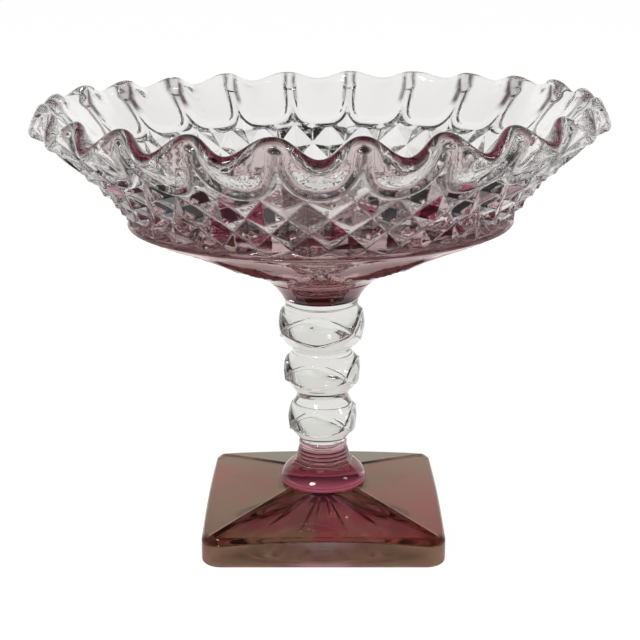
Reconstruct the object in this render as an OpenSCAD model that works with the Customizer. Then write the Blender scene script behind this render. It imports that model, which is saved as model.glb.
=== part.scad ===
// Footed compote bowl in pressed glass: crimped bowl, three-knop stem, square foot.
// Millimetres, +Z up. The origin is the centre of the foot on the table,
// and the viewer's side is -Y. Neighbouring pieces meet face to face at
// fused seams, because the glass is joined hot.

/* [Bowl] */
// Outside radius of the rim at the outward bends of the crimp
rim_r = 97.3; // [95:0.1:99]
// Height of the middle of the wall at the rim, between the crimp's highs and lows
rim_z = 151.3; // [149:0.1:154]
// Thickness of the bowl's wall at the rim
wall = 4.6; // [4:0.1:5.4]
// Number of crimps round the rim, and of flutes below them
crimps = 24; // [20:1:28]
// Radial swing of the crimp to each side of the rim's middle line
crimp_r = 1.6; // [0.5:0.1:3]
// Vertical swing of the crimp to each side of the rim's middle line
crimp_z = 2.3; // [0.5:0.1:3.5]
// Number of diamonds round the band
diamonds = 36; // [30:1:40]
// Height of each diamond's point over the groove beside it
relief = 1.4; // [0.4:0.1:2.2]
// Turn of the diamond band from the front, in degrees
band_turn = -2.7; // [-5:0.1:5]

/* [Stem] */
// Radius of the upper knop at its four corners
upper_knop_r = 17.2; // [16:0.1:18.5]
// Radius of the middle knop at its four corners
middle_knop_r = 15.8; // [14.6:0.1:17]
// Radius of the lower knop at its four corners
lower_knop_r = 14.6; // [13.4:0.1:15.8]
// Distance from the axis to the deepest point of a knop's eye-shaped scoop, as a share of its corner radius
flat_share = 0.78; // [0.72:0.01:0.88]
// Turn of the knops' scoops from the front, in degrees
knop_turn = -15; // [-45:1:45]

/* [Foot] */
// Width of the square foot
foot_w = 83.6; // [78:0.2:90]
// Height of the foot's side at the middle of each edge
side_h = 11.5; // [10.5:0.1:12.5]
// How much lower the side is at the corners
corner_drop = 2.5; // [0.5:0.1:3.5]
// Radius of the upright corners
corner_r = 4.0; // [2:0.5:8]
// Depth of the dished underside
dish_depth = 7.0; // [5:0.5:8]
// Radius of the dished underside where it meets the table plane
dish_r = 36.5; // [30:0.5:38]

/* [Hidden] */

ruby = [0.45, 0.06, 0.14];
clear = [0.86, 0.88, 0.86];
foot_tint = [0.42, 0.27, 0.24];

// heights of the fused seams, from the foot up
z_seat = 16.4;
z_neck = 29.6;
z_low = 49.0;
z_mid = 66.0;
z_top = 84.4;
z_boss = 91.4;
// radii at the seams
r_seat = 15.4;
r_neck = 8.5;
r_low = 9.3;
r_mid = 10.2;
r_top = 13.0;
r_boss = 18.4;

// ---------------------------------------------------------------- foot
foot_half = foot_w / 2;
slope = 0.19;
apex_z = side_h + slope * foot_half;
vault_r = foot_half * foot_half / (2 * corner_drop);

module rounded_plan() {
    union() {
        square([foot_w - 2 * corner_r, foot_w], center = true);
        square([foot_w, foot_w - 2 * corner_r], center = true);
        for (sx = [-1, 1], sy = [-1, 1])
            translate([sx * (foot_half - corner_r), sy * (foot_half - corner_r)])
                circle(r = corner_r, $fn = 48);
    }
}

// One slope of the foot's top: a wide vault that falls away from the stem
module vault(turn) {
    rotate([0, 0, turn])
        translate([0, 0, apex_z])
            rotate([90 + atan(slope), 0, 0])
                translate([0, -vault_r, 0])
                    cylinder(h = 3 * foot_w, r = vault_r, center = true, $fn = 256);
}

module foot() {
    dish_ball = (dish_r * dish_r + dish_depth * dish_depth) / (2 * dish_depth);
    color(foot_tint)
        difference() {
            intersection() {
                linear_extrude(height = apex_z + 1) rounded_plan();
                vault(0);
                vault(90);
                vault(180);
                vault(270);
            }
            // land for the collar
            translate([0, 0, z_seat]) cylinder(h = 20, r = r_seat + 0.6, $fn = 96);
            // dished underside, so that the foot stands on its frame
            translate([0, 0, dish_depth - dish_ball]) sphere(r = dish_ball, $fn = 192);
        }
}

// Ruby collar on the foot: a bell-shaped skirt below a stepped neck
module foot_collar() {
    color(ruby)
        union() {
            rotate_extrude($fn = 96)
                polygon([
                    [0, z_seat], [r_seat - 0.5, z_seat], [r_seat, z_seat + 0.5],
                    [r_seat + 0.2, z_seat + 1.4], [r_seat - 0.1, z_seat + 2.8],
                    [r_seat - 1.1, z_seat + 4.3], [r_seat - 3.0, z_seat + 5.8],
                    [r_seat - 4.6, z_seat + 6.8], [10.0, z_seat + 7.4], [9.3, z_seat + 8.6],
                    [9.0, z_seat + 9.6], [8.75, z_seat + 9.6], [8.75, z_seat + 11.2],
                    [r_neck, z_seat + 11.2], [r_neck, z_neck], [0, z_neck]
                ]);
            // eight-sided ring at the foot of the neck
            translate([0, 0, z_seat + 7.0]) rotate([0, 0, 22.5]) cylinder(h = 1.0, r = 10.6, $fn = 8);
        }
}

// ---------------------------------------------------------------- stem
// A knop is two cones base to base, with four scoops that cut eye shapes into the ridge
module knop(z0, z1, r0, r1, zr, rc, band0, band1) {
    flat_r = flat_share * rc;
    scoop_r = 34;
    difference() {
        rotate_extrude($fn = 96)
            polygon([
                [0, z0], [r0, z0], [r0, z0 + band0], [r0 + 0.8, z0 + band0 + 0.6],
                [(r0 + rc) / 2 + 1.2, (z0 + band0 + zr) / 2 - 0.6], [rc - 0.5, zr - 1.2], [rc, zr],
                [rc - 0.5, zr + 1.2], [(r1 + rc) / 2 + 0.7, (z1 - band1 + zr) / 2 + 0.6],
                [r1 + 0.6, z1 - band1 - 0.6], [r1, z1 - band1], [r1, z1], [0, z1]
            ]);
        for (i = [0:3])
            rotate([0, 0, knop_turn + 90 * i])
                translate([0, -flat_r - scoop_r, zr + 0.8])
                    rotate([0, 90, 0])
                        cylinder(h = 60, r = scoop_r, center = true, $fn = 192);
    }
}

module lower_knop() { color(clear) knop(z_neck, z_low, r_neck, r_low, 39.0, lower_knop_r, 2.0, 0.4); }

module middle_knop() { color(clear) knop(z_low, z_mid, r_low, r_mid, 56.6, middle_knop_r, 0.5, 0.4); }

module upper_knop() { color(clear) knop(z_mid, z_top, r_mid, r_top, 73.6, upper_knop_r, 0.5, 2.2); }

// Ruby flare under the bowl
module bowl_collar() {
    color(ruby)
        rotate_extrude($fn = 96)
            polygon([
                [0, z_top], [r_top, z_top], [13.5, 85.4], [14.2, 86.7], [15.2, 88.2],
                [16.5, 89.7], [r_boss, z_boss], [0, z_boss]
            ]);
}

// ---------------------------------------------------------------- bowl
// Angles run from the front (-Y) towards +X
function at(r, z, a) = [r * sin(a), -r * cos(a), z];
function mix(a, b, t) = a + (b - a) * t;

lattice_n = 2 * diamonds;
rim_n = 8 * crimps;

// Plain ring of n points
function plain(n, r, z) = [for (i = [0:n - 1]) at(r, z, band_turn + 360 * i / n)];

// Row of the diamond band: every other point is a groove crossing, the rest are diamond points
function lattice(r, z, odd, k = 1) = [for (i = [0:lattice_n - 1])
    let (up = ((i + odd) % 2 == 0 ? 0.5 : -0.5) * relief * k)
    at(r + 0.8 * up, z - 0.6 * up, band_turn + 360 * i / lattice_n)];

// Rim's middle line and the direction across the wall there
rim_mid_r = rim_r - crimp_r - wall / 2 + 0.1;

// Point of the fluted, crimped upper wall. s: 0 at its foot, 1 at the rim.
// side: 1 outside, -1 inside. cap: turn over the rim's rounded edge, in degrees.
function upper(s, side, a, cap = 0) =
    let (
        w = cos(crimps * a),
        grow = pow(s, 1.5),
        mr = mix(83.2, rim_mid_r, s) + crimp_r * grow * w,
        mz = mix(138, rim_z, s) - crimp_z * grow * w,
        t = mix(5.4, wall, s) / 2,
        ridge = side > 0 ? 0.7 * pow(abs(sin(crimps * a / 2)), 6) * (1 - pow(s, 4)) : 0,
        d = side * t + ridge,
        dr = 0.7071 * (d * cos(cap) + t * sin(cap)),
        dz = 0.7071 * (t * sin(cap) - d * cos(cap))
    )
    at(mr + dr, mz + dz, a);

function upper_ring(s, side, cap = 0) = [for (i = [0:rim_n - 1]) upper(s, side, 360 * i / rim_n, cap)];

rings = concat(
    // underside
    [plain(lattice_n, r_boss, z_boss), plain(lattice_n, 25, 95), plain(lattice_n, 36, 99.5),
     plain(lattice_n, 48, 105.5), plain(lattice_n, 60, 110.2), plain(lattice_n, 65, 112.8)],
    // diamond band
    [lattice(66, 114.5, 0), lattice(70, 120, 1), lattice(74, 125.4, 0),
     lattice(80.2, 131.8, 1), lattice(84.6, 136, 0, 0.6)],
    // fluted wall, rounded rim and the inside of the wall
    [for (s = [0.2, 0.42, 0.64, 0.84, 1]) upper_ring(s, 1)],
    [upper_ring(1, 1, 45), upper_ring(1, 0, 90), upper_ring(1, -1, 45)],
    [for (s = [1, 0.8, 0.55, 0.3, 0]) upper_ring(s, -1)],
    // smooth inside
    [plain(lattice_n, 73.6, 131.8), plain(lattice_n, 66, 123), plain(lattice_n, 61.2, 117.2),
     plain(lattice_n, 55.6, 113.4), plain(lattice_n, 46, 110), plain(lattice_n, 33, 104.8),
     plain(lattice_n, 18, 101)]
);

// Where each ring starts in the list of points
starts = [for (i = 0, n = 0; i < len(rings); n = n + len(rings[i]), i = i + 1) n];
all_points = [for (r = rings, p = r) p];

// Angle of the first point of a ring, so that rings of unequal count are joined nearest to nearest
function first_angle(k) = len(rings[k]) == rim_n ? 0 : band_turn;
function wrap(i, n) = ((i % n) + n) % n;

// Two rings of n points each; alt flips the diagonal from cell to cell, so that it follows the grooves
function band_faces(k, alt, odd) =
    let (a = starts[k], b = starts[k + 1], n = len(rings[k]))
    [for (i = [0:n - 1]) let (j = (i + 1) % n, flip = alt && ((i + odd) % 2 == 0))
        each (flip ? [[a + i, b + j, a + j], [a + i, b + i, b + j]]
                   : [[a + i, b + i, a + j], [a + j, b + i, b + j]])];

// Rings of unlike counts
function join_faces(k) =
    let (
        a = starts[k], n = len(rings[k]), b = starts[k + 1], m = len(rings[k + 1]),
        shift = (first_angle(k + 1) - first_angle(k)) / 360
    )
    concat(
        [for (j = [0:m - 1]) let (c = wrap(round(((j + 0.5) / m + shift) * n), n))
            [b + j, b + (j + 1) % m, a + c]],
        [for (i = [0:n - 1]) let (c = wrap(ceil(((i + 0.5) / n - shift) * m - 0.5), m))
            [a + i, b + c, a + (i + 1) % n]]
    );

last = len(rings) - 1;
faces = concat(
    [[for (i = [0:lattice_n - 1]) i]],
    [for (k = [0:last - 1]) each
        (len(rings[k]) == len(rings[k + 1])
            ? band_faces(k, k >= 6 && k <= 9, k % 2)
            : join_faces(k))],
    [[for (i = [lattice_n - 1:-1:0]) starts[last] + i]]
);

module bowl() { color(clear) polyhedron(points = all_points, faces = faces, convexity = 8); }

foot();
foot_collar();
lower_knop();
middle_knop();
upper_knop();
bowl_collar();
bowl();
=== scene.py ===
import math

import bpy
import numpy as np
from mathutils import Matrix


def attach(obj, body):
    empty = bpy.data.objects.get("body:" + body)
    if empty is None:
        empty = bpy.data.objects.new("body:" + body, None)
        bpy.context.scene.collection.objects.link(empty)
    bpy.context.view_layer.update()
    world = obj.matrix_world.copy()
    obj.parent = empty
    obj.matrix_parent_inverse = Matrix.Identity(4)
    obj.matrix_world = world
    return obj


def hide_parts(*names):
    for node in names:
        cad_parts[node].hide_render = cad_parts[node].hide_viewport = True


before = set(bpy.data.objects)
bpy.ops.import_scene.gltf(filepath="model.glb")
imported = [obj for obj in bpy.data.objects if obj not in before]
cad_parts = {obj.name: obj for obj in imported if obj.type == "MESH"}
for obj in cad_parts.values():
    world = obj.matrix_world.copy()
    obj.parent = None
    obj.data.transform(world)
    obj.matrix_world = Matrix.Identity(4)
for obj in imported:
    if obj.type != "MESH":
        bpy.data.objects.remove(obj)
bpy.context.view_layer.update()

# ---------------------------------------------------------------- small tools
# Lengths here are millimetres. Angles are degrees from the front (-Y) towards +X.
MM = 0.001


def place(r, z, angle):
    """Points at radius r, height z and the given angle."""
    a = np.radians(angle)
    r, z, a = np.broadcast_arrays(np.asarray(r, float), np.asarray(z, float), a)
    return np.stack([r * np.sin(a), -r * np.cos(a), z], axis=-1)


def smoothstep(a, b, x):
    t = np.clip((x - a) / (b - a), 0, 1)
    return t * t * (3 - 2 * t)


def smin(a, b, k):
    """The smaller of two values, blended over a width k."""
    h = np.clip(0.5 + 0.5 * (b - a) / k, 0, 1)
    return b + (a - b) * h - k * h * (1 - h)


def smax(a, b, k):
    return -smin(-a, -b, k)


def spline(knots, t):
    """Catmull-Rom curve through the knots; t runs from 0 to len(knots) - 1."""
    k = np.asarray(knots, float)
    pad = np.vstack([2 * k[0] - k[1], k, 2 * k[-1] - k[-2]])
    t = np.clip(np.asarray(t, float), 0, len(k) - 1 - 1e-9)
    i = np.floor(t).astype(int)
    u = (t - i)[..., None]
    a, b, c, d = pad[i], pad[i + 1], pad[i + 2], pad[i + 3]
    return 0.5 * (2 * b + (c - a) * u + (2 * a - 5 * b + 4 * c - d) * u * u + (3 * b - a - 3 * c + d) * u ** 3)


def lean(p, start=20.0, tilt=0.0105):
    """The hand-set stem and bowl stand a little off the foot's axis."""
    q = p.copy()
    share = smoothstep(17, 30, p[..., 2])
    q[..., 0] = p[..., 0] - tilt * np.maximum(p[..., 2] - start, 0) * share
    q[..., 2] = p[..., 2] + tilt * p[..., 0] * share
    return q


class Skin:
    """Collects rings of points and the triangles between them into one closed mesh."""

    def __init__(self):
        self.points, self.faces, self.slots, self.marks = [], [], [], []
        self.count = 0

    def ring(self, p, **marks):
        """Adds one ring of points and returns (first index, number of points)."""
        p = np.asarray(p, float).reshape(-1, 3)
        self.points.append(p)
        self.marks.append({k: np.broadcast_to(np.asarray(v, float), (len(p),)) for k, v in marks.items()})
        start, self.count = self.count, self.count + len(p)
        return start, len(p)

    def add(self, tri, slot=0):
        tri = np.asarray(tri, int).reshape(-1, 3)
        self.faces.append(tri)
        self.slots.append(np.full(len(tri), slot))

    def band(self, a, b, slash=None, slot=0):
        """Joins two rings of equal count. slash is true where the diagonal runs from a[i] to b[i + 1]."""
        (a0, n), (b0, _) = a, b
        i = np.arange(n)
        j = (i + 1) % n
        if slash is None:
            slash = i % 2 == 0
        s = np.asarray(slash, bool)
        one = np.where(s[:, None], np.stack([a0 + i, a0 + j, b0 + j], 1), np.stack([a0 + i, a0 + j, b0 + i], 1))
        two = np.where(s[:, None], np.stack([a0 + i, b0 + j, b0 + i], 1), np.stack([a0 + j, b0 + j, b0 + i], 1))
        self.add(np.vstack([one, two]), slot if np.isscalar(slot) else np.tile(slot, 2))

    def zip(self, a, ta, b, tb, slot=0):
        """Joins two rings of unlike counts. ta and tb are their points' angles, both rising from near each other."""
        (a0, n), (b0, m) = a, b
        ta = np.append(ta, ta[0] + 360)
        tb = np.append(tb, tb[0] + 360)
        i = j = 0
        tri = []
        while i < n or j < m:
            if j >= m or (i < n and ta[i + 1] <= tb[j + 1]):
                tri.append((a0 + i, a0 + (i + 1) % n, b0 + j % m))
                i += 1
            else:
                tri.append((a0 + i % n, b0 + (j + 1) % m, b0 + j))
                j += 1
        self.add(tri, slot)

    def cap(self, a, centre, top, slot=0, **marks):
        """Closes a ring with a fan. top is true where the fan faces up."""
        a0, n = a
        c, _ = self.ring([centre], **marks)
        i = np.arange(n)
        j = (i + 1) % n
        tri = np.stack([np.full(n, c), a0 + i, a0 + j] if top else [np.full(n, c), a0 + j, a0 + i], 1)
        self.add(tri, slot)

    def build(self, name, materials, shape=None):
        p = np.vstack(self.points)
        if shape is not None:
            p = shape(p)
        faces = np.vstack(self.faces)
        me = bpy.data.meshes.new(name)
        me.from_pydata((p * MM).tolist(), [], faces.tolist())
        for m in materials:
            me.materials.append(m)
        me.polygons.foreach_set("material_index", np.concatenate(self.slots).astype(np.int32))
        me.polygons.foreach_set("use_smooth", np.ones(len(faces), bool))
        for key in sorted({k for m in self.marks for k in m}):
            data = np.concatenate([m.get(key, np.zeros(len(q))) for m, q in zip(self.marks, self.points)])
            me.attributes.new(key, "FLOAT", "POINT").data.foreach_set("value", data.astype(np.float32))
        me.update()
        me.validate()
        o = bpy.data.objects.new(name, me)
        bpy.context.scene.collection.objects.link(o)
        return o


# ---------------------------------------------------------------- materials
def material(name, transmission=1.0, ior=1.5, roughness=0.02, alpha=1.0):
    m = bpy.data.materials.new(name)
    m.use_nodes = True
    tree = m.node_tree
    s = tree.nodes["Principled BSDF"]
    s.inputs["Transmission Weight"].default_value = transmission
    s.inputs["IOR"].default_value = ior
    s.inputs["Roughness"].default_value = roughness
    s.inputs["Alpha"].default_value = alpha
    return m, tree, s


def noise(tree, scale, detail=3.0, rough=0.5, stretch=(1, 1, 1), distortion=0.0, shift=(0, 0, 0)):
    """Value of a noise pattern. scale is in patches per metre."""
    where = tree.nodes.new("ShaderNodeTexCoord")
    mapping = tree.nodes.new("ShaderNodeMapping")
    mapping.inputs["Scale"].default_value = stretch
    mapping.inputs["Location"].default_value = shift
    tree.links.new(where.outputs["Object"], mapping.inputs["Vector"])
    n = tree.nodes.new("ShaderNodeTexNoise")
    n.inputs["Scale"].default_value = scale
    n.inputs["Detail"].default_value = detail
    n.inputs["Roughness"].default_value = rough
    n.inputs["Distortion"].default_value = distortion
    tree.links.new(mapping.outputs["Vector"], n.inputs["Vector"])
    return n.outputs["Fac"]


def remap(tree, value, low, high, to_low=0.0, to_high=1.0):
    n = tree.nodes.new("ShaderNodeMapRange")
    n.interpolation_type = "SMOOTHSTEP"
    tree.links.new(value, n.inputs["Value"])
    for key, x in (("From Min", low), ("From Max", high), ("To Min", to_low), ("To Max", to_high)):
        n.inputs[key].default_value = x
    return n.outputs["Result"]


def math_node(tree, kind, a, b):
    n = tree.nodes.new("ShaderNodeMath")
    n.operation = kind
    for k, x in enumerate((a, b)):
        if isinstance(x, (int, float)):
            n.inputs[k].default_value = x
        else:
            tree.links.new(x, n.inputs[k])
    return n.outputs["Value"]


def mix(tree, factor, a, b):
    """Mix of two colours, each a colour or a socket."""
    n = tree.nodes.new("ShaderNodeMix")
    n.data_type = "RGBA"
    if isinstance(factor, (int, float)):
        n.inputs[0].default_value = factor
    else:
        tree.links.new(factor, n.inputs[0])
    for k, x in ((6, a), (7, b)):
        if isinstance(x, tuple):
            n.inputs[k].default_value = (*x, 1.0)
        else:
            tree.links.new(x, n.inputs[k])
    return n.outputs[2]


def attribute(tree, name):
    n = tree.nodes.new("ShaderNodeAttribute")
    n.attribute_name = name
    return n.outputs["Fac"]


def bump(tree, shader, height, strength, distance):
    n = tree.nodes.new("ShaderNodeBump")
    n.inputs["Strength"].default_value = strength
    n.inputs["Distance"].default_value = distance
    tree.links.new(height, n.inputs["Height"])
    tree.links.new(n.outputs["Normal"], shader.inputs["Normal"])


# the grey of the clear glass is partly its own faint tint and partly painted shade, dimming the floor seen through it
CLEAR_A = (0.745, 0.743, 0.712)
CLEAR_B = (0.825, 0.822, 0.795)


def clear_base(tree):
    return mix(tree, noise(tree, 45, 2.0), CLEAR_A, CLEAR_B)


def clear_glass():
    m, tree, s = material("clear_glass", roughness=0.0)
    tree.links.new(clear_base(tree), s.inputs["Base Color"])
    bump(tree, s, noise(tree, 150, 2.0), 0.25, 0.0002)
    return m


def bowl_glass(name):
    """Clear glass with a thin ruby stain, strongest on the rim and under the bowl, and painted shade: the shade
    attribute darkens it along lines and on facets.
    """
    m, tree, s = material(name, roughness=0.0)
    light = mix(tree, remap(tree, noise(tree, 110, 3.0, 0.6), 0.45, 0.65), (0.94, 0.86, 0.87), (0.88, 0.74, 0.77))
    deep = mix(tree, remap(tree, noise(tree, 60, 3.0, 0.55), 0.38, 0.66), (0.24, 0.048, 0.055), (0.16, 0.022, 0.035))
    rim = mix(tree, remap(tree, noise(tree, 90, 2.0, 0.5), 0.35, 0.7), (0.075, 0.009, 0.018), (0.120, 0.021, 0.034))
    c = mix(tree, attribute(tree, "stain"), mix(tree, noise(tree, 45, 2.0), (0.875, 0.870, 0.855), (0.925, 0.920, 0.905)), light)
    c = mix(tree, attribute(tree, "blush"), c, (0.36, 0.035, 0.09))
    c = mix(tree, attribute(tree, "deep"), c, deep)
    # painted shade: a near-black mix where the shade attribute is set, standing in for the dark the glass shows by
    # refraction
    c = mix(tree, attribute(tree, "shade"), c, (0.024, 0.011, 0.013))
    c = mix(tree, attribute(tree, "rim"), c, rim)
    tree.links.new(c, s.inputs["Base Color"])
    bump(tree, s, noise(tree, 230, 2.0), 0.35, 0.00028)
    return m


def ruby_glass(name):
    m, tree, s = material(name, roughness=0.0)
    patches = remap(tree, noise(tree, 70, 3.0, 0.55), 0.35, 0.68)
    c = mix(tree, patches, (0.60, 0.075, 0.235), (0.43, 0.066, 0.148))
    c = mix(tree, attribute(tree, "brown"), c, (0.098, 0.033, 0.029))
    c = mix(tree, attribute(tree, "pale"), c, (0.40, 0.20, 0.24))
    tree.links.new(c, s.inputs["Base Color"])
    bump(tree, s, noise(tree, 160, 2.0), 0.2, 0.00015)
    return m


def tinted_coat(m, tint):
    """A stain over the glass, which deepens towards grazing views."""
    s = m.node_tree.nodes["Principled BSDF"]
    s.inputs["Coat Weight"].default_value = 1.0
    s.inputs["Coat Roughness"].default_value = 0.0
    s.inputs["Coat IOR"].default_value = 1.05
    s.inputs["Coat Tint"].default_value = (*tint, 1.0)
    return m


def lustre_glass(name, roughness):
    """Ruby-stained glass under a brown lustre: plum on the front slope, olive at the back, where the olive is painted
    sheen, the colour the lustre's reflection takes there.
    """
    m, tree, s = material(name, roughness=roughness)
    patches = remap(tree, noise(tree, 38, 3.0, 0.55, distortion=0.4), 0.40, 0.64)
    c = mix(tree, patches, (0.168, 0.108, 0.060), (0.255, 0.048, 0.056))
    plum = mix(tree, remap(tree, noise(tree, 60, 3.0, 0.5, shift=(3.1, 0.4, 0)), 0.40, 0.62), (0.120, 0.018, 0.062), (0.19, 0.060, 0.082))
    c = mix(tree, attribute(tree, "berry"), c, plum)
    c = mix(tree, attribute(tree, "wall"), c, (0.43, 0.335, 0.30))
    # painted sheen: the olive tint on the back slopes
    c = mix(tree, attribute(tree, "olive"), c, (0.10, 0.085, 0.045))
    tree.links.new(c, s.inputs["Base Color"])
    bump(tree, s, noise(tree, 90, 2.0), 0.2, 0.00015)
    return m


def seam_glass():
    """The fused seam between two pieces: light passes straight on."""
    m, tree, s = material("fused_seam", alpha=0.0)
    tree.links.new(clear_base(tree), s.inputs["Base Color"])
    return m


CLEAR, SEAM = clear_glass(), seam_glass()
BOWL, BOWL_BELOW = bowl_glass("bowl_glass"), tinted_coat(bowl_glass("bowl_below"), (0.92, 0.835, 0.84))
RUBY, FLARE = ruby_glass("ruby_glass"), tinted_coat(ruby_glass("ruby_flare"), (0.96, 0.89, 0.90))
LUSTRE = tinted_coat(lustre_glass("lustre_glass", 0.02), (0.92, 0.855, 0.80))
# the back slopes get an olive-tinted copy of the lustre glass with a deeper coat: painted sheen
BACK_SHEEN_LUSTRE = tinted_coat(lustre_glass("lustre_back_sheen", 0.02), (0.72, 0.70, 0.63))
WALL, BELOW = lustre_glass("lustre_wall", 0.34), lustre_glass("lustre_below", 0.0)

# ---------------------------------------------------------------- bowl
TURN = -2.7           # turn of the diamond band
N = 864               # columns round the band: 12 to each lattice step
STEP = 360 / N
FOOT_OF_WALL = 137.0  # below this height the wall is a plain flare, above it the crimp begins
TOP = 151.4           # the height that the flare would reach without the crimp
RELIEF = 2.8          # height of the diamonds' points over their grooves
PROUD = 1.6           # height of the points over the flutes

# outer envelope of the flare, a cubic through heights and radii
ENV_Z = np.array([113, 114.5, 116, 119, 122, 125, 128, 131, 134, 137, 140])
ENV_R = np.array([65.8, 66.4, 67.4, 69.6, 71.9, 74.2, 76.8, 79.8, 83.1, 86.3, 89.4])
ENV = np.polyfit(ENV_Z - 126, ENV_R, 3)


def envelope(z):
    return np.polyval(ENV, z - 126), np.polyval(np.polyder(ENV), z - 126)


# heights of the lattice rows
ROW_Z = np.array([114.5, 120, 125.4, 131.8, 138.4, 145.4, 152.0])


def lattice_q(z):
    return np.interp(z, ROW_Z, np.arange(7))


# Small departures of the crimp, one per outward bend, from the front rightwards: height, turn and depth.
# The crimp is deepest at the front and shallow at the back.
BEND_Z = np.array([-0.3, -0.4, -0.9, 0, 0, -0.1, 0, 0, 0, 0, 0, 0, 0, 0, 0, 0, 0, 0, 0, -0.2, -0.1, -0.7, -0.2, 0.3])
BEND_T = np.array([0, 0, 0, 0.2, 0, 0, 0, 0.4, -0.3, -0.6, -1.8, -0.4, 0.2, 1.2, 1.2, 0.3, -0.2, 0.3, 0, 0, 1.0, -1.0, -1.0, -1.2])
BEND_D = np.array([1, 1, 1, 1, 0.97, 0.9, 0.8, 0.58, 0.40, 0.42, 0.46, 0.60, 0.64, 0.72, 0.74, 0.64, 0.5, 0.4, 0.75, 0.9, 1, 1, 1, 1.0])
# the same for the inward bends' height, each half a step on
CREST_Z = np.array([0, 0, 0, 0, 0, 0.2, 0.4, 1.0, 0.3, -0.2, -0.7, -1.0, -1.1, -0.7, -0.7, 0, 0.6, 0.4, 0, 0, 0, 0, 0, 0])


def per_bend(table, angle):
    """Smooth value between one bend's value and the next."""
    x = (np.asarray(angle) / 15.0) % 24
    i = np.floor(x).astype(int) % 24
    u = x - np.floor(x)
    u = u * u * (3 - 2 * u)
    return table[i] * (1 - u) + table[(i + 1) % 24] * u


def crimp(angle):
    """1 at a full outward bend of the rim, 0 at an inward one."""
    a = np.asarray(angle, float)
    c = 0.5 + 0.5 * np.cos(np.radians(24 * (a - per_bend(BEND_T, a))))
    return c ** 1.15 * per_bend(BEND_D, a)


def rim_end(angle):
    """Middle of the wall's rounded end and the wall's direction there."""
    c = crimp(angle)
    r = 92.2 + 3.3 * c
    z = 152.4 - 5.6 * c + per_bend(BEND_Z, angle) * c + per_bend(CREST_Z, np.asarray(angle) - 7.5) * (1 - c)
    d = np.radians(90 - 66 * c)
    return r, z, np.cos(d), np.sin(d)


HALF = 2.3  # half the wall's thickness at the rim


def bezier(p, t):
    u = 1 - t
    return tuple(u ** 3 * p[0][k] + 3 * u * u * t * p[1][k] + 3 * u * t * t * p[2][k] + t ** 3 * p[3][k] for k in (0, 1))


def crimped(angle, v, side):
    """Radius and height of the crimped wall. v: 0 at its foot, 1 at the rim. side: 1 outside, -1 inside."""
    angle, v = np.broadcast_arrays(np.asarray(angle, float), np.asarray(v, float))
    c = crimp(angle)
    r0, s0 = envelope(FOOT_OF_WALL)
    k = 1 / math.hypot(1, s0)
    depth = PROUD if side > 0 else 5.9
    p0 = (r0 - depth * k, FOOT_OF_WALL + depth * s0 * k)
    er, ez, dr, dz = rim_end(angle)
    p1 = (er + side * HALF * dz, ez - side * HALF * dr)
    if side > 0:
        corner = (94.4 - 5.0 * c, 146.9 - 4.9 * c)
    else:
        corner = (89.9 - 3.6 * c, 149.0 - 3.6 * c)
    c1 = tuple(p0[i] + (corner[i] - p0[i]) * 0.84 for i in (0, 1))
    c2 = tuple(p1[i] + (corner[i] - p1[i]) * 0.72 for i in (0, 1))
    return bezier((p0, c1, c2, p1), v)


def wall_level(angle, zeta):
    """Flute level of the outer wall: radius, height."""
    angle, zeta = np.broadcast_arrays(np.asarray(angle, float), np.asarray(zeta, float))
    r, s = envelope(zeta)
    k = 1 / np.hypot(1, s)
    low = (r - PROUD * k, zeta + PROUD * s * k)
    v = np.clip((zeta - FOOT_OF_WALL) / (TOP - FOOT_OF_WALL), 0, 1)
    high = crimped(angle, v, 1)
    up = zeta > FOOT_OF_WALL
    return np.where(up, high[0], low[0]), np.where(up, high[1], low[1])


ARCH_Z = 144.4   # where the flutes' round feet become straight sides
FLUTE_H = 8.9    # depth of the round foot
FLUTE_A = 6.6    # half the flute's width, in degrees


def towards_front(angle, low, high):
    """0 at the back, 1 at the front."""
    return smoothstep(low, high, np.cos(np.radians(angle)))



def rib_half(angle, zeta):
    """Half the width in mm of the rib between two flutes. The ribs stay broad up to the rim left and right of the back."""
    off = np.abs((np.asarray(angle) + 180) % 360 - 180)
    return np.interp(zeta, [ARCH_Z, 152.0], [(7.5 - FLUTE_A) * 1.6, 1.0]) + 1.0 * np.exp(-((off - 130) / 24) ** 2) * smoothstep(ARCH_Z, ARCH_Z + 2.5, zeta)


def flute_inset(angle, zeta):
    """Distance in mm inside the edge of the nearest flute. Negative on the diamond band."""
    a = np.abs((np.asarray(angle) + 7.5) % 15 - 7.5)
    power = 3.4 - 1.4 * towards_front(angle, -0.6, 0.2)
    foot = FLUTE_H + 1.6 * (1 - towards_front(angle, -0.6, 0.2))
    half = rib_half(angle, zeta)
    rho = ((a / FLUTE_A) ** power + (np.abs(ARCH_Z - zeta) / foot) ** power) ** (1 / power)
    low = (1 - rho) * 10.4
    high = (7.5 - a) * 1.6 - half
    return np.where(zeta <= ARCH_Z, low, high)


def diamonds(angle, zeta):
    p = (np.asarray(angle) - TURN) / 5.0
    q = lattice_q(zeta)
    a, b = (p + q) / 2, (p - q) / 2
    h = 1 - 2 * np.maximum(np.abs(a - np.round(a)), np.abs(b - np.round(b)))
    return PROUD - RELIEF * (1 - h)


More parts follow.
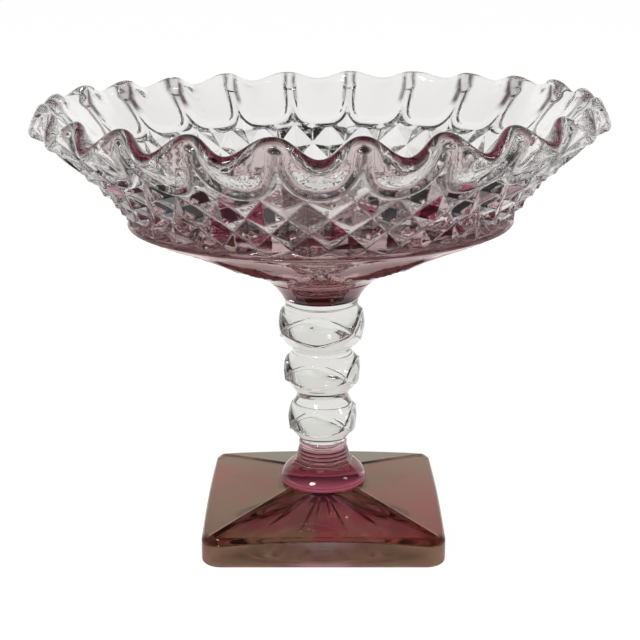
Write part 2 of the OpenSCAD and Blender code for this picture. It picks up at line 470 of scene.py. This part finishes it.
def relief(angle, zeta):
    """Height of the outer surface over the flute level."""
    s = flute_inset(angle, zeta)
    lip = 1.5 - 0.25 * ((s + 0.7) / 0.7) ** 2
    outside = smax(diamonds(angle, zeta), lip, 0.12)
    a = np.abs((np.asarray(angle) + 7.5) % 15 - 7.5)
    up = smoothstep(ARCH_Z - 1.5, ARCH_Z + 0.5, zeta)
    # the ribs between the flutes stand higher at the back
    back = 1 - towards_front(angle, -0.3, 0.5)
    tall = back * up * (1 - smoothstep(145.5, 150.0, zeta))
    more = 0.8 * tall
    edge = 1.25 + more
    outside = outside * (1 - up) + (edge + 0.2 * (1 - ((7.5 - a) * 1.6 / rib_half(angle, zeta)) ** 2)) * up
    fade = 1 - smoothstep(149.2 - 3.6 * back, 151.3, zeta)
    outside = np.where(zeta > ARCH_Z - 1.5, outside * fade, outside)
    edge = edge * fade
    floor = 0.12 * (a / 7.5) ** 4 * fade
    t = np.clip(s / (0.8 + 1.2 * towards_front(angle, -0.3, 0.6) + 0.7 * tall), 0, 1)
    power = 2.1 - 0.5 * tall
    inside = edge * (1 - t) ** power + floor * (1 - (1 - t) ** power)
    return np.where(s < 0, outside, inside)


def outer_wall(angle, zeta):
    e = relief(angle, zeta)
    r, z = wall_level(angle, zeta)
    d = 0.05
    r1, z1 = wall_level(angle, np.minimum(zeta + d, TOP))
    r0, z0 = wall_level(angle, np.minimum(zeta + d, TOP) - 2 * d)
    dr, dz = r1 - r0, z1 - z0
    k = 1 / np.hypot(dr, dz)
    return r + e * dz * k, z - e * dr * k


def snap(angle, zeta, level, locked):
    """Moves the grid's points next to a contour of the flutes' edge onto it, so that the edge is clean."""
    s = flute_inset(angle, zeta) - level
    s = np.where(np.abs(s) < 1e-9, 1e-9, s)
    new_a, new_z = angle.copy(), zeta.copy()
    best = np.full(angle.shape, 2.0)
    rows, cols = angle.shape
    moves = [(0, 1), (0, -1), (1, 0), (-1, 0)]
    for dr, dc in moves:
        nb_s = np.roll(np.roll(s, -dr, 0), -dc, 1)
        nb_a = np.roll(np.roll(angle, -dr, 0), -dc, 1)
        nb_z = np.roll(np.roll(zeta, -dr, 0), -dc, 1)
        if dc:
            nb_a = angle + (nb_a - angle + 180) % 360 - 180
        ok = (s * nb_s < 0) & ~locked
        if dr == 1:
            ok[-1] = False
        if dr == -1:
            ok[0] = False
        t = np.where(ok, s / np.where(ok, s - nb_s, 1), 2.0)
        # the contour is curved, so the crossing is refined by bisection
        lo, hi = np.zeros_like(t), np.ones_like(t)
        for _ in range(14):
            m = (lo + hi) / 2
            sm = flute_inset(angle + (nb_a - angle) * m, zeta + (nb_z - zeta) * m) - level
            same = sm * s > 0
            lo, hi = np.where(same, m, lo), np.where(same, hi, m)
        t = np.where(ok, (lo + hi) / 2, 2.0)
        take = ok & (t <= 0.5) & (t < best)
        best = np.where(take, t, best)
        new_a = np.where(take, angle + (nb_a - angle) * t, new_a)
        new_z = np.where(take, zeta + (nb_z - zeta) * t, new_z)
    moved = best <= 0.5
    return new_a, new_z, moved | locked, moved


# underside of the bowl: radius, height
UNDER = [(18.7, 91.4), (21.8, 93.5), (25.2, 95.0), (28.3, 96.5), (32.2, 98.0), (36.2, 99.5), (42.1, 102.4),
         (48.2, 105.3), (55.4, 108.4), (59.6, 110.0), (63.3, 111.6), (65.0, 112.6)]
BEAD = [(65.6, 112.55), (66.3, 112.8), (66.5, 113.2), (66.2, 113.65), (65.2, 113.92), (64.5, 114.2)]
INSIDE = [(82.2, 141.2), (77.8, 136.4), (73.6, 131.8), (69.8, 127.4), (66.0, 123.0), (61.4, 117.9), (55.2, 113.6),
          (45.0, 109.4), (33.0, 105.0), (20.0, 101.7), (9.0, 100.4)]


def stain_of(r, z, angle):
    """How much of the ruby stain a point of the outside has: light, deep."""
    light = (1 - 0.72 * smoothstep(131.0, 140.0, z) - 0.28 * smoothstep(143.0, 152.0, z)) * (0.18 + 0.82 * smoothstep(-0.2, 0.95, np.cos(np.radians(angle))))
    front = smoothstep(-0.2, 0.9, np.cos(np.radians(angle)))
    deep = 0.92 * (1 - smoothstep(34, 95, r)) * (0.3 + 0.7 * front) * (z < 112.8) + 0.35 * (1 - smoothstep(115, 126, z)) * front * (z >= 112.8)
    return light, deep


def facet_shade_and_blush(angle, zeta):
    """Painted shade on the diamonds: darker on the facets that look down, on the lowest rows, along the grooves and the
    facets' ridges, and by a random amount per facet; and red stain on a few. shade, blush.
    """
    p = (np.asarray(angle) - TURN) / 5.0
    q = lattice_q(zeta)
    a, b = (p + q) / 2, (p - q) / 2
    ia, ib = np.round(a), np.round(b)
    da, db = a - ia, b - ib
    k = np.where(np.abs(da) > np.abs(db), np.where(da > 0, 0, 1), np.where(db > 0, 2, 3))

    def chance(seed):
        x = np.sin((ia % 36) * 12.9898 + (ib % 36) * 78.233 + k * 37.719 + seed) * 43758.5453
        return x - np.floor(x)

    on = flute_inset(angle, zeta) < -0.6
    front = smoothstep(-0.3, 0.8, np.cos(np.radians(angle)))
    down = (k == 1) | (k == 2)
    low = 0.16 * (1 - smoothstep(117.0, 126.0, zeta))
    groove = 0.34 * np.exp(-((0.5 - np.maximum(np.abs(da), np.abs(db))) / 0.035) ** 2)
    ridge = 0.30 * np.exp(-((np.abs(da) - np.abs(db)) / 0.035) ** 2)
    shade = np.clip(0.04 + low + ridge + groove + 0.30 * down + 1.30 * (chance(1.0) - 0.50), 0, 0.93) * (0.22 + 0.78 * front)
    blush = (chance(5.0) > 0.85) * front * smoothstep(115, 118, zeta) * (1 - smoothstep(131, 136, zeta))
    return shade * on, blush * on


def painted_line_shade(angle, zeta):
    """Painted shade: dark lines along the flutes' feet at the front and beside the ribs at the back, and a darker band
    over the ribs left and right of the back.
    """
    s = flute_inset(angle, zeta)
    wave = 0.90 * np.exp(-((s + 0.45) / 0.70) ** 2) * towards_front(angle, 0.0, 0.5) * (1 - smoothstep(ARCH_Z - 1.0, ARCH_Z + 3.0, zeta))
    off = np.abs((np.asarray(angle) + 180) % 360 - 180)
    beside = np.exp(-((off - 128) / 24) ** 2)
    rib = np.minimum(1, 1.2 * np.exp(-((s - 0.35) / (0.60 + 0.80 * beside)) ** 2)) * (1 - towards_front(angle, -0.3, 0.4)) * smoothstep(138.5, 141.0, zeta)
    land = 0.68 * (s < 0.1) * beside * smoothstep(140.5, 143.0, zeta)
    return np.maximum(np.maximum(wave, rib), land)


def make_bowl():
    skin = Skin()
    # underside, with eight oval scoops
    m = 432
    angle = TURN + 360 * np.arange(m) / m
    rings = []
    t = np.concatenate([np.linspace(0, 1, 3)[:-1], np.linspace(1, 11, 26)])
    prof = spline(UNDER, t)
    for r, z in prof:
        d = angle % 45 - 22.5
        rho2 = ((r - 46.5) / 16.0) ** 2 + (d / 21.0) ** 2
        cut = 2.7 * np.maximum(0, 1 - rho2) ** 0.80 - 0.45 * np.exp(-((np.sqrt(rho2) - 1.02) / 0.055) ** 2)
        light, deep = stain_of(r, z, angle)
        # painted shade: a dark line round each scoop, carried in the shade attribute
        outline = 0.9 * np.exp(-((np.sqrt(rho2) - 1.0) / 0.075) ** 2)
        rings.append(skin.ring(place(r - 0.42 * cut, z + 0.9 * cut, angle), stain=light, deep=deep, shade=outline))
    under_first, under_last = rings[0], rings[-1]
    for a, b in zip_pairs(rings):
        skin.band(a, b, slot=2)
    skin.cap(under_first, (0, 0, 91.4), top=False, slot=1)

    # bead under the band, with painted shade: darker along its lower rows
    full = TURN + STEP * np.arange(N)
    beads = [skin.ring(place(r, z, full), stain=0.9, deep=0.35, shade=0.6 if z < 113.8 else 0.2) for r, z in BEAD]
    skin.zip(under_last, angle, beads[0], full, slot=2)
    for a, b in zip_pairs(beads):
        skin.band(a, b)

    # diamond band and fluted wall
    q = np.arange(0, 61) / 12
    zeta = np.concatenate([np.interp(q, np.arange(7), ROW_Z), np.linspace(ROW_Z[5], TOP, 9)[1:]])
    rows = len(zeta)
    ang, zet = np.meshgrid(full, zeta)
    locked = np.zeros_like(ang, bool)
    locked[0] = locked[-1] = True
    ang, zet, locked, on_edge = snap(ang, zet, 0.0, locked)
    r, z = outer_wall(ang, zet)
    crest = 1 - crimp(ang)
    light, deep = stain_of(r, z, ang)
    # painted shade on the diamonds and along the flutes' feet and ribs
    shade, blush = facet_shade_and_blush(ang, zet)
    shade = np.maximum(shade, painted_line_shade(ang, zet))
    band_rings = [skin.ring(place(r[k], z[k], ang[k]), stain=light[k], deep=deep[k], shade=shade[k], blush=blush[k]) for k in range(rows)]
    skin.band(beads[-1], band_rings[0])
    mid_a = (ang + np.roll(ang, -1, 1) + 360 * (np.arange(N) == N - 1)) / 2
    for k in range(rows - 1):
        p = (TURN + STEP * (np.arange(N) + 0.5) - TURN) / 5
        qq = lattice_q((zeta[k] + zeta[k + 1]) / 2)
        slash = (np.floor(p) + np.floor(qq)).astype(int) % 2 == 1
        here, there = on_edge[k], on_edge[k + 1]
        fwd = here & np.roll(there, -1)      # a[i] to b[i + 1]
        back = np.roll(here, -1) & there     # a[i + 1] to b[i]
        slash = np.where(fwd & ~back, True, np.where(back & ~fwd, False, slash))
        skin.band(band_rings[k], band_rings[k + 1], slash)

    # rounded rim
    er, ez, dr, dz = rim_end(full)
    front = 0.12 + 0.88 * smoothstep(-0.15, 0.45, np.cos(np.radians(full)))
    cap_rings = []
    turns = np.radians(np.linspace(0, 180, 11))[1:-1]
    # the last wall ring stands where the rounding begins
    for a in turns:
        nr, nz = dz, -dr
        pr = er + HALF * (nr * math.cos(a) + dr * math.sin(a))
        pz = ez + HALF * (nz * math.cos(a) + dz * math.sin(a))
        share = smoothstep(0.0, 0.16, a / math.pi - 0.56 + 0.30 * towards_front(full, 0.2, 0.8))
        thin = 1 - 0.8 * smoothstep(0.62, 0.80, a / math.pi) * (1 - towards_front(full, 0.35, 0.85))
        cap_rings.append(skin.ring(place(pr, pz, full), rim=share * front * thin))
    skin.band(band_rings[-1], cap_rings[0])
    for a, b in zip_pairs(cap_rings):
        skin.band(a, b)

    # inside
    m2 = 432
    inner = TURN + 360 * np.arange(m2) / m2
    front2 = 0.12 + 0.88 * smoothstep(-0.15, 0.45, np.cos(np.radians(inner)))
    inside = []
    for v in (1.0, 0.95, 0.89, 0.83, 0.76, 0.69, 0.61, 0.53, 0.44, 0.35, 0.25, 0.15, 0.07):
        pr, pz = crimped(inner, v, -1)
        inside.append(skin.ring(place(pr, pz, inner), rim=front2 * (0.10 + 0.90 * towards_front(inner, 0.35, 0.85)) * (1.0 * (v > 0.99) + 0.7 * (0.94 < v < 0.96))))
    skin.zip(cap_rings[-1], full, inside[0], inner)
    for t in np.linspace(0, len(INSIDE) - 1, 20):
        pr, pz = spline(INSIDE, t)
        inside.append(skin.ring(place(pr, pz, inner), stain=0.0))
    for a, b in zip_pairs(inside):
        skin.band(a, b)
    skin.cap(inside[-1], (0, 0, 100.2), top=True)
    return skin.build("bowl_glass", [BOWL, SEAM, BOWL_BELOW], lean)


def zip_pairs(rings):
    return list(zip(rings[:-1], rings[1:]))


# ---------------------------------------------------------------- turned pieces
def turned(name, profile, materials, marks=None, shape=None, n=192, caps=(1, 1), warp=None):
    """A closed turned piece. profile: rows of radius and height from the bottom up."""
    skin = Skin()
    angle = 360 * np.arange(n) / n
    rings = []
    for r, z in profile:
        rr = r if shape is None else shape(r, z, angle)
        extra = {} if marks is None else marks(r, z, angle)
        rings.append(skin.ring(place(rr, z, angle), **extra))
    for a, b in zip_pairs(rings):
        skin.band(a, b)
    skin.cap(rings[0], (0, 0, profile[0][1]), top=False, slot=caps[0])
    skin.cap(rings[-1], (0, 0, profile[-1][1]), top=True, slot=caps[1])
    return skin.build(name, materials, lean if warp is None else warp)


def dense(knots, per):
    """Points along a smooth curve, with the corners' knots given twice to keep them sharp."""
    k = np.asarray(knots, float)
    cuts = [0] + [i for i in range(1, len(k)) if np.allclose(k[i], k[i - 1])] + [len(k)]
    out = []
    for a, b in zip(cuts[:-1], cuts[1:]):
        part = k[a:b]
        if len(part) < 2:
            out.extend(part.tolist())
            continue
        t = np.linspace(0, len(part) - 1, (len(part) - 1) * per + 1)
        out.extend(spline(part, t).tolist())
    keep = [out[0]]
    for p in out[1:]:
        if math.dist(p, keep[-1]) > 1e-4:
            keep.append(p)
    return keep


def knop(name, body, low, high, rc, mid, zc, turn):
    """One knop. body: its profile as a body of revolution, widest at rc. low, high: the ends, as (radius, height) rows.
    Four almond-shaped facets round it, mid from the axis at their middles, meet in points on the widest line."""
    profile = dense(low + body + high, 6)

    def shape(r, z, angle):
        d = np.abs((angle - turn + 45) % 90 - 45) / 45
        facet = mid + (rc + 0.1 - mid) * d ** 2.1 - 0.045 * (z - zc) ** 2
        # the facets stop short of the ends
        near = smoothstep(6.4, 5.2, abs(z - zc)) if abs(z - zc) > 5.2 else 1.0
        facet = facet + 6.0 * (1 - near)
        lid = 0.34 * np.exp(-((r - facet) / 0.20) ** 2)
        return smin(np.full_like(angle, r), facet, 0.10) + lid

    return turned(name, profile, [CLEAR, SEAM], shape=shape, n=360)


UPPER_BODY = [(10.3, 66.45), (10.75, 66.7), (11.9, 67.6), (13.1, 68.7), (13.9, 69.8), (14.6, 70.8), (15.7, 72.2), (16.8, 73.5), (17.3, 74.5),
              (17.2, 75.3), (16.7, 76.5), (15.7, 78.1), (14.7, 79.4), (13.9, 80.4), (13.2, 81.3), (12.75, 82.2)]
MIDDLE_BODY = [(9.2, 49.45), (9.5, 49.9), (10.3, 51.1), (11.3, 52.2), (12.1, 53.3), (12.9, 54.3), (14.1, 55.6), (15.1, 56.7), (15.3, 57.5),
               (15.1, 58.7), (14.4, 60.2), (13.3, 61.7), (12.2, 63.0), (11.3, 64.1), (10.6, 65.0), (10.3, 65.5)]
LOWER_BODY = [(8.3, 31.9), (8.5, 32.3), (9.0, 33.3), (9.9, 34.4), (10.8, 35.4), (11.8, 36.5), (12.8, 37.6), (13.6, 38.7), (13.8, 39.6),
              (13.6, 40.6), (12.9, 42.1), (12.0, 43.7), (11.2, 44.9), (10.3, 46.2), (9.6, 47.5), (9.2, 48.5)]


def make_collar():
    knots = [(12.9, 84.4), (13.5, 85.0), (14.1, 86.1), (14.9, 87.3), (15.9, 88.6), (17.1, 89.9), (18.7, 91.4)]
    profile = dense(knots, 4)
    return turned("ruby_flare", profile, [FLARE, SEAM], marks=lambda r, z, a: {"brown": 0.95})


def make_foot_collar():
    knots = [(15.0, 16.4), (15.35, 16.7), (15.6, 17.4), (15.55, 18.2), (15.1, 19.3), (14.2, 20.7), (13.0, 22.0), (11.7, 22.95), (10.75, 23.35),
             (10.75, 23.35), (10.78, 23.8), (10.5, 24.2), (10.0, 24.35),
             (10.0, 24.35), (9.65, 24.6), (9.78, 25.1), (9.7, 25.6), (9.35, 25.85),
             (9.35, 25.85), (9.1, 26.05), (9.32, 26.5), (9.25, 27.0), (8.95, 27.2),
             (8.95, 27.2), (8.75, 27.4), (8.95, 27.8), (8.9, 28.3), (8.6, 28.5),
             (8.6, 28.5), (8.42, 28.7), (8.5, 29.2), (8.5, 29.6)]
    profile = dense(knots, 4)

    def shape(r, z, angle):
        # the neck's lowest ring is eight-sided, and the skirt faintly so
        d = (angle + 22.5 + 7) % 45 - 22.5
        octo = r * math.cos(math.radians(22.5)) / np.cos(np.radians(d)) * 1.02
        w = float(smoothstep(22.4, 23.3, z) * (1 - smoothstep(24.6, 26.0, z)) + 0.10 * smoothstep(16.6, 18.0, z) * (1 - smoothstep(22.4, 23.3, z)))
        return r + (octo - r) * w

    return turned("ruby_collar", profile, [RUBY, SEAM], shape=shape, marks=lambda r, z, a: {"pale": 0.85 * float(smoothstep(23.0, 23.5, z))})


# ---------------------------------------------------------------- foot
FOOT = 41.8
CORNER = 7.0


def foot_reach(angle, inset=0.0):
    """Distance from the axis to the foot's rounded-square outline, drawn in by inset."""
    a = np.radians(angle)
    x, y = np.sin(a), -np.cos(a)
    half = FOOT - inset
    rad = np.maximum(CORNER - inset, 0.05)
    t = half / np.maximum(np.abs(x), np.abs(y))
    ax, ay = np.abs(x), np.abs(y)
    c = half - rad
    # where the ray meets the corner's circle
    b = (ax + ay) * c
    disc = np.maximum(b * b - (2 * c * c - rad * rad), 0)
    tc = b + np.sqrt(disc)
    corner = (np.minimum(t * ax, t * ay) > c)
    return np.where(corner, tc, t)


def foot_top(x, y):
    m, n = np.maximum(np.abs(x), np.abs(y)), np.minimum(np.abs(x), np.abs(y))
    ridge = 0.55 * np.exp(-(((m - n) / math.sqrt(2)) / 0.75) ** 2) * smoothstep(9.0, 13.0, m) * (1 - smoothstep(37.5, 40.5, m))
    return 10.9 + 0.207 * (FOOT - 1.6 - m) - 1.2 * (n / FOOT) ** 2 + ridge


def make_foot():
    skin = Skin()
    n = 576
    angle = 360 * np.arange(n) / n
    rings = []

    def put(r, z, **marks):
        rings.append(skin.ring(place(r, z, angle), **marks))

    reach = foot_reach(angle)
    # underside: hollow under the stem, with broad rays, and a flat frame to stand on
    rays = 0.5 - 0.5 * np.cos(np.radians(16 * angle))
    hollow = 35.0
    cr, cz = 0.0, 7.2
    under = []
    for t in np.linspace(0.04, 1, 22):
        r = hollow * t * (0.3 * np.minimum(reach / FOOT, 1.25) + 0.7)
        front = smoothstep(0.35, 0.75, np.cos(np.radians(angle)))
        base = 5.5 * (1 - t ** 2.2) * (1 - 0.85 * (1 - front) * smoothstep(0.05, 0.5, t))
        ray = 0.8 * smoothstep(0.5, 0.85, np.cos(np.radians(angle))) * np.abs(2 * rays - 1) * smoothstep(0.1, 0.35, t) * (1 - smoothstep(0.72, 0.95, t))
        under.append((r, base + ray * (rays > 0.5) - 0.0 * t))
    for r, z in under:
        put(r, z, berry=0.2)
    put(foot_reach(angle, 1.6), np.zeros(n), berry=0.2)
    put(foot_reach(angle, 1.0), np.zeros(n) + 0.03, berry=0.2)
    first = rings[0]
    # side
    facing = smoothstep(0.55, 0.75, np.cos(np.radians(angle)))
    wall_from = len(rings) - 1
    for inset, z in ((0.55, 0.22), (0.2, 0.55), (0.03, 1.0)):
        put(foot_reach(angle, inset), np.full(n, z), berry=0.1, wall=facing)
    x, y = reach * np.sin(np.radians(angle)), -reach * np.cos(np.radians(angle))
    top = foot_top(x, y)
    side = 9.9 - 2.6 * (np.minimum(np.abs(x), np.abs(y)) / FOOT) ** 2
    for k in np.linspace(0.14, 1, 10):
        put(reach, 1.0 + (side - 0.3 - 1.0) * k, berry=0.1, wall=facing)
    wall_to = len(rings) - 1
    # a narrow chamfer, broadest along the front, leads to the slopes
    narrow = 0.35 + 0.65 * facing
    outer = foot_reach(angle, 1.6 * narrow)
    ox, oy = outer * np.sin(np.radians(angle)), -outer * np.cos(np.radians(angle))
    lip = foot_top(ox, oy)
    for inset, k in ((0.05, 0.10), (0.18, 0.20), (0.55, 0.42), (0.95, 0.63), (1.30, 0.81), (1.46, 0.90), (1.53, 0.96)):
        put(foot_reach(angle, inset * narrow), side + (lip - 0.04 - side) * k, berry=0.3)
    # slopes, from the rounded square to the circle under the collar
    inner = 15.0
    for t in np.linspace(0, 1, 34):
        w = smoothstep(0, 1, t)
        r = outer + (inner - outer) * t
        tx, ty = r * np.sin(np.radians(angle)), -r * np.cos(np.radians(angle))
        z = foot_top(tx, ty)
        z = z + (16.4 - z) * smoothstep(0.965, 1.0, t)
        front = smoothstep(0.62, 0.76, np.cos(np.radians(angle)))
        # olive on the back slopes is painted sheen: the lustre's reflected colour there
        put(r, z, berry=0.75 * front * smoothstep(0.0, 0.25, t), olive=0.9 * smoothstep(-0.6, -0.8, np.cos(np.radians(angle))))
    # the back slopes take the olive-tinted copy of the lustre glass, painted sheen
    behind = np.where(np.cos(np.radians(angle + 180 / n)) < -math.sqrt(0.5), 4, 0)
    for k, (a, b) in enumerate(zip_pairs(rings)):
        skin.band(a, b, slot=3 if k < wall_from else 2 if k < wall_to else behind)
    skin.cap(first, (0, 0, 5.5), top=False, slot=3, berry=0.2)
    skin.cap(rings[-1], (0, 0, 16.4), top=True, slot=1)
    return skin.build("foot_glass", [LUSTRE, SEAM, WALL, BELOW, BACK_SHEEN_LUSTRE])


# ---------------------------------------------------------------- assembly
pieces = {
    "bowl": (make_bowl(), "clear_glass"),
    "bowl_collar": (make_collar(), "ruby_glass"),
    "upper_knop": (knop("upper_knop_glass", UPPER_BODY, [(10.3, 66.0), (10.3, 66.45), (10.3, 66.45)],
                         [(12.5, 82.1), (11.85, 82.35), (11.85, 82.35), (12.75, 82.65), (12.95, 83.4), (12.9, 84.4)], 17.3, 15.15, 75.2, -8), "clear_glass"),
    "middle_knop": (knop("middle_knop_glass", MIDDLE_BODY, [(9.2, 49.0), (9.2, 49.45), (9.2, 49.45)],
                          [(10.3, 65.5), (10.3, 66.0)], 15.3, 13.3, 58.3, -12), "clear_glass"),
    "lower_knop": (knop("lower_knop_glass", LOWER_BODY, [(8.5, 29.6), (8.65, 30.4), (8.55, 31.4), (8.3, 31.9), (8.3, 31.9)],
                         [(9.2, 48.5), (9.2, 49.0)], 13.8, 12.05, 40.3, -11), "clear_glass"),
    "foot_collar": (make_foot_collar(), "ruby_glass"),
    "foot": (make_foot(), "lustre_glass"),
}
for node, (piece, slot) in pieces.items():
    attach(piece, "root")
    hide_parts(node)

# ---------------------------------------------------------------- floor, light and camera
scene = bpy.context.scene


def disc(name, radius, z, n=96):
    a = np.linspace(0, 2 * np.pi, n, endpoint=False)
    v = [(radius * math.cos(t), radius * math.sin(t), z) for t in a]
    me = bpy.data.meshes.new(name)
    me.from_pydata(v, [], [list(range(n))])
    o = bpy.data.objects.new(name, me)
    scene.collection.objects.link(o)
    return o


def floor_material(name, bounce):
    """Plain white floor; bounce 1 is the one whose light the glass gathers, with painted light on it: its glow is
    bright in a wedge behind the piece and far off, and dim as painted shade close in front of the piece and beside it.
    """
    m = bpy.data.materials.new(name)
    m.use_nodes = True
    tree = m.node_tree
    tree.nodes.clear()
    out = tree.nodes.new("ShaderNodeOutputMaterial")
    add = tree.nodes.new("ShaderNodeAddShader")
    dif = tree.nodes.new("ShaderNodeBsdfDiffuse")
    dif.inputs["Color"].default_value = (0.16, 0.16, 0.16, 1)
    emi = tree.nodes.new("ShaderNodeEmission")
    emi.inputs["Color"].default_value = (1, 1, 1, 1)
    emi.inputs["Strength"].default_value = 0.97
    if bounce:
        spot = tree.nodes.new("ShaderNodeTexCoord")
        axes = tree.nodes.new("ShaderNodeSeparateXYZ")
        tree.links.new(spot.outputs["Object"], axes.inputs[0])
        side = math_node(tree, "ABSOLUTE", math_node(tree, "SUBTRACT", axes.outputs["X"], 0.012), 0.0)
        reach = math_node(tree, "ADD", math_node(tree, "MULTIPLY", axes.outputs["Y"], FLOOR_SPREAD), FLOOR_HALF)
        lit_side = remap(tree, math_node(tree, "SUBTRACT", side, reach), 0.0, 0.06, 1.0, 0.0)
        lit_front = remap(tree, axes.outputs["Y"], -0.065, -0.012, 0.0, 1.0)
        near = math_node(tree, "MULTIPLY", lit_side, lit_front)
        away = math_node(tree, "SQRT", math_node(tree, "ADD", math_node(tree, "MULTIPLY", axes.outputs["X"], axes.outputs["X"]),
                                                 math_node(tree, "MULTIPLY", axes.outputs["Y"], axes.outputs["Y"])), 0.0)
        lit = math_node(tree, "MAXIMUM", near, remap(tree, away, FLOOR_RING - 0.07, FLOOR_RING + 0.07, 0.0, 1.0))
        tree.links.new(remap(tree, lit, 0.0, 1.0, FLOOR_DIM, 0.97), emi.inputs["Strength"])
    tree.links.new(dif.outputs[0], add.inputs[0])
    tree.links.new(emi.outputs[0], add.inputs[1])
    tree.links.new(add.outputs[0], out.inputs["Surface"])
    return m


FLOOR_DIM, FLOOR_HALF, FLOOR_SPREAD, FLOOR_RING = 0.025, 0.065, 0.56, 0.38
floor = disc("floor", 9.0, -0.0004)
floor.data.materials.append(floor_material("floor_white", False))
floor.visible_diffuse = floor.visible_glossy = floor.visible_transmission = floor.visible_shadow = False
# the floor that only the glass sees, with painted light and shade in its glow
bounce = disc("floor_painted_light", 9.0, -0.0006)
bounce.data.materials.append(floor_material("floor_painted_light", True))
bounce.visible_camera = False

WORLD_DIM, WORLD_PANEL = 0.022, 0.93
world = bpy.data.worlds.new("studio")
scene.world = world
world.use_nodes = True
wt = world.node_tree
wt.nodes.clear()
wo = wt.nodes.new("ShaderNodeOutputWorld")
bg = wt.nodes.new("ShaderNodeBackground")
tc = wt.nodes.new("ShaderNodeTexCoord")
sep = wt.nodes.new("ShaderNodeSeparateXYZ")
wt.links.new(tc.outputs["Generated"], sep.inputs[0])
behind = remap(wt, sep.outputs["Y"], 0.25, 0.75, 0.0, 1.0)
low_sky = remap(wt, sep.outputs["Z"], 0.42, 0.72, 1.0, 0.0)
around = math_node(wt, "MULTIPLY", remap(wt, sep.outputs["Z"], 0.15, 0.35, 1.0, 0.0), 0.6)
glow = math_node(wt, "MAXIMUM", math_node(wt, "MULTIPLY", behind, low_sky), around)
wt.links.new(remap(wt, glow, 0.0, 1.0, WORLD_DIM, WORLD_PANEL), bg.inputs["Strength"])
bg.inputs["Color"].default_value = (1.0, 1.0, 0.99, 1)
wt.links.new(bg.outputs[0], wo.inputs[0])


def softbox(name, size, place_at, aim, power, shape="RECTANGLE", ratio=1.0):
    data = bpy.data.lights.new(name, "AREA")
    data.shape = shape
    data.size = size
    data.size_y = size * ratio
    data.energy = power
    o = bpy.data.objects.new(name, data)
    scene.collection.objects.link(o)
    o.location = place_at
    d = np.array(aim, float) - np.array(place_at, float)
    d /= np.linalg.norm(d)
    z = -d
    x = np.cross((0, 0, 1), z)
    if np.linalg.norm(x) < 1e-6:
        x = np.array((1.0, 0, 0))
    x /= np.linalg.norm(x)
    y = np.cross(z, x)
    o.matrix_world = Matrix(((x[0], y[0], z[0], place_at[0]), (x[1], y[1], z[1], place_at[1]), (x[2], y[2], z[2], place_at[2]), (0, 0, 0, 1)))
    return o


softbox("key_light", 0.34, (-0.75, -1.25, 1.05), (0, 0, 0.1), 11)
softbox("side_light", 0.25, (1.4, -0.3, 1.2), (0, 0, 0.1), 2)

camera = bpy.data.objects.new("camera", bpy.data.cameras.new("camera"))
scene.collection.objects.link(camera)
camera.data.sensor_width = 36.0
camera.data.lens = 1413.905 / 640 * 36.0
camera.data.clip_start = 0.01
camera.data.clip_end = 100
camera.location = (-0.0012, -0.481007, 0.212454)
camera.rotation_euler = (math.radians(90 - 15.837), 0, 0)
scene.camera = camera

scene.view_settings.view_transform = "Standard"
scene.view_settings.look = "None"
scene.cycles.max_bounces = 32
scene.cycles.transmission_bounces = 32
scene.cycles.glossy_bounces = 12
scene.cycles.transparent_max_bounces = 24
scene.cycles.diffuse_bounces = 3
scene.cycles.caustics_refractive = True
scene.cycles.caustics_reflective = True
scene.cycles.blur_glossy = 0.0
scene.cycles.sample_clamp_indirect = 6.0

bpy.context.view_layer.update()
